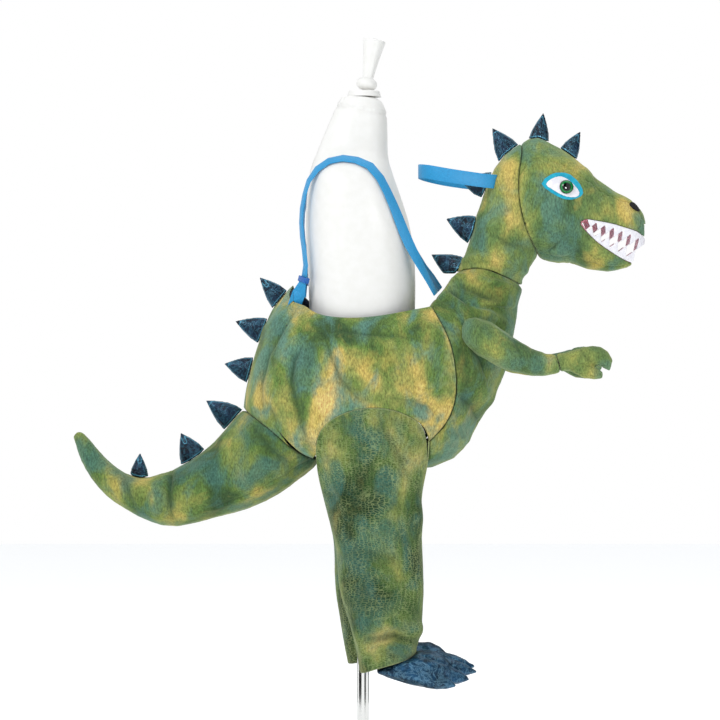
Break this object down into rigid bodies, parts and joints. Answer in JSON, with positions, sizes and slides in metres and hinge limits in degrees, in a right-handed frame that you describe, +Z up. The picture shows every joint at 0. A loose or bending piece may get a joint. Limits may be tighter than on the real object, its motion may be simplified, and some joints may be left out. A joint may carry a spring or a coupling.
{
  "type": "ride-on dinosaur costume on a limbless dress form with a stand",
  "caption": "Child ride-on dinosaur costume in mottled green plush with webbing straps and rein, worn by a white limbless dress form on a pole stand.",
  "frame": {"origin": "on the floor, centre of the underside of the stand base, on the pole axis", "axes": "+X towards the dinosaur's nose, +Y towards its left side, +Z up"},
  "size_m": [1.041, 0.31, 1.2902],
  "materials": {
    "plush": "short pile, mottled green",
    "hide": "embossed scale pattern",
    "foil": "shiny coated cloth",
    "webbing": "woven",
    "lining": "plain weave",
    "satin": "satin",
    "mouth": "brushed",
    "felt_blue": "felt",
    "felt_black": "felt",
    "eye_plastic": "polished",
    "form_shell": "smooth",
    "stand_metal": "polished",
    "buckle": "moulded"
  },
  "bodies": {
    "root": {"body_right": "plush", "body_left": "plush", "waist_lining": "lining", "leg_outer_right": "hide", "leg_inner_right": "hide", "leg_outer_left": "hide", "leg_inner_left": "hide", "chest_right": "plush", "chest_left": "plush", "neck_right": "plush", "neck_left": "plush", "crotch_gusset": "plush", "tail_right": "plush", "tail_left": "plush", "head_crown": "plush", "head_chin": "plush", "head_right": "plush", "head_left": "plush", "mouth_lining": "mouth", "teeth_upper": "satin", "teeth_lower": "satin", "eye_rim_right": "felt_blue", "eye_rim_left": "felt_blue", "eye_white_right": "satin", "eye_white_left": "satin", "nostril_right": "felt_black", "nostril_left": "felt_black", "eye_button_right": "eye_plastic", "eye_button_left": "eye_plastic", "arm_right": "plush", "arm_left": "plush", "hand_right": "plush", "hand_left": "plush", "foot_right": "foil", "foot_left": "foil", "spike_crown_front": "foil", "spike_crown_top": "foil", "spike_crown_rear": "foil", "spike_nape_top": "foil", "spike_nape_middle": "foil", "spike_nape_low": "foil", "spike_back_high": "foil", "spike_back_upper": "foil", "spike_back_middle": "foil", "spike_back_low": "foil", "spike_tail_upper": "foil", "spike_tail_low": "foil", "form_torso": "form_shell", "form_neck_plate": "form_shell", "form_finial": "form_shell", "stand_pole": "stand_metal", "stand_base": "stand_metal", "strap_right": "webbing", "strap_left": "webbing", "slider_right": "buckle", "slider_left": "buckle", "rein": "webbing"}
  },
  "joints": []
}
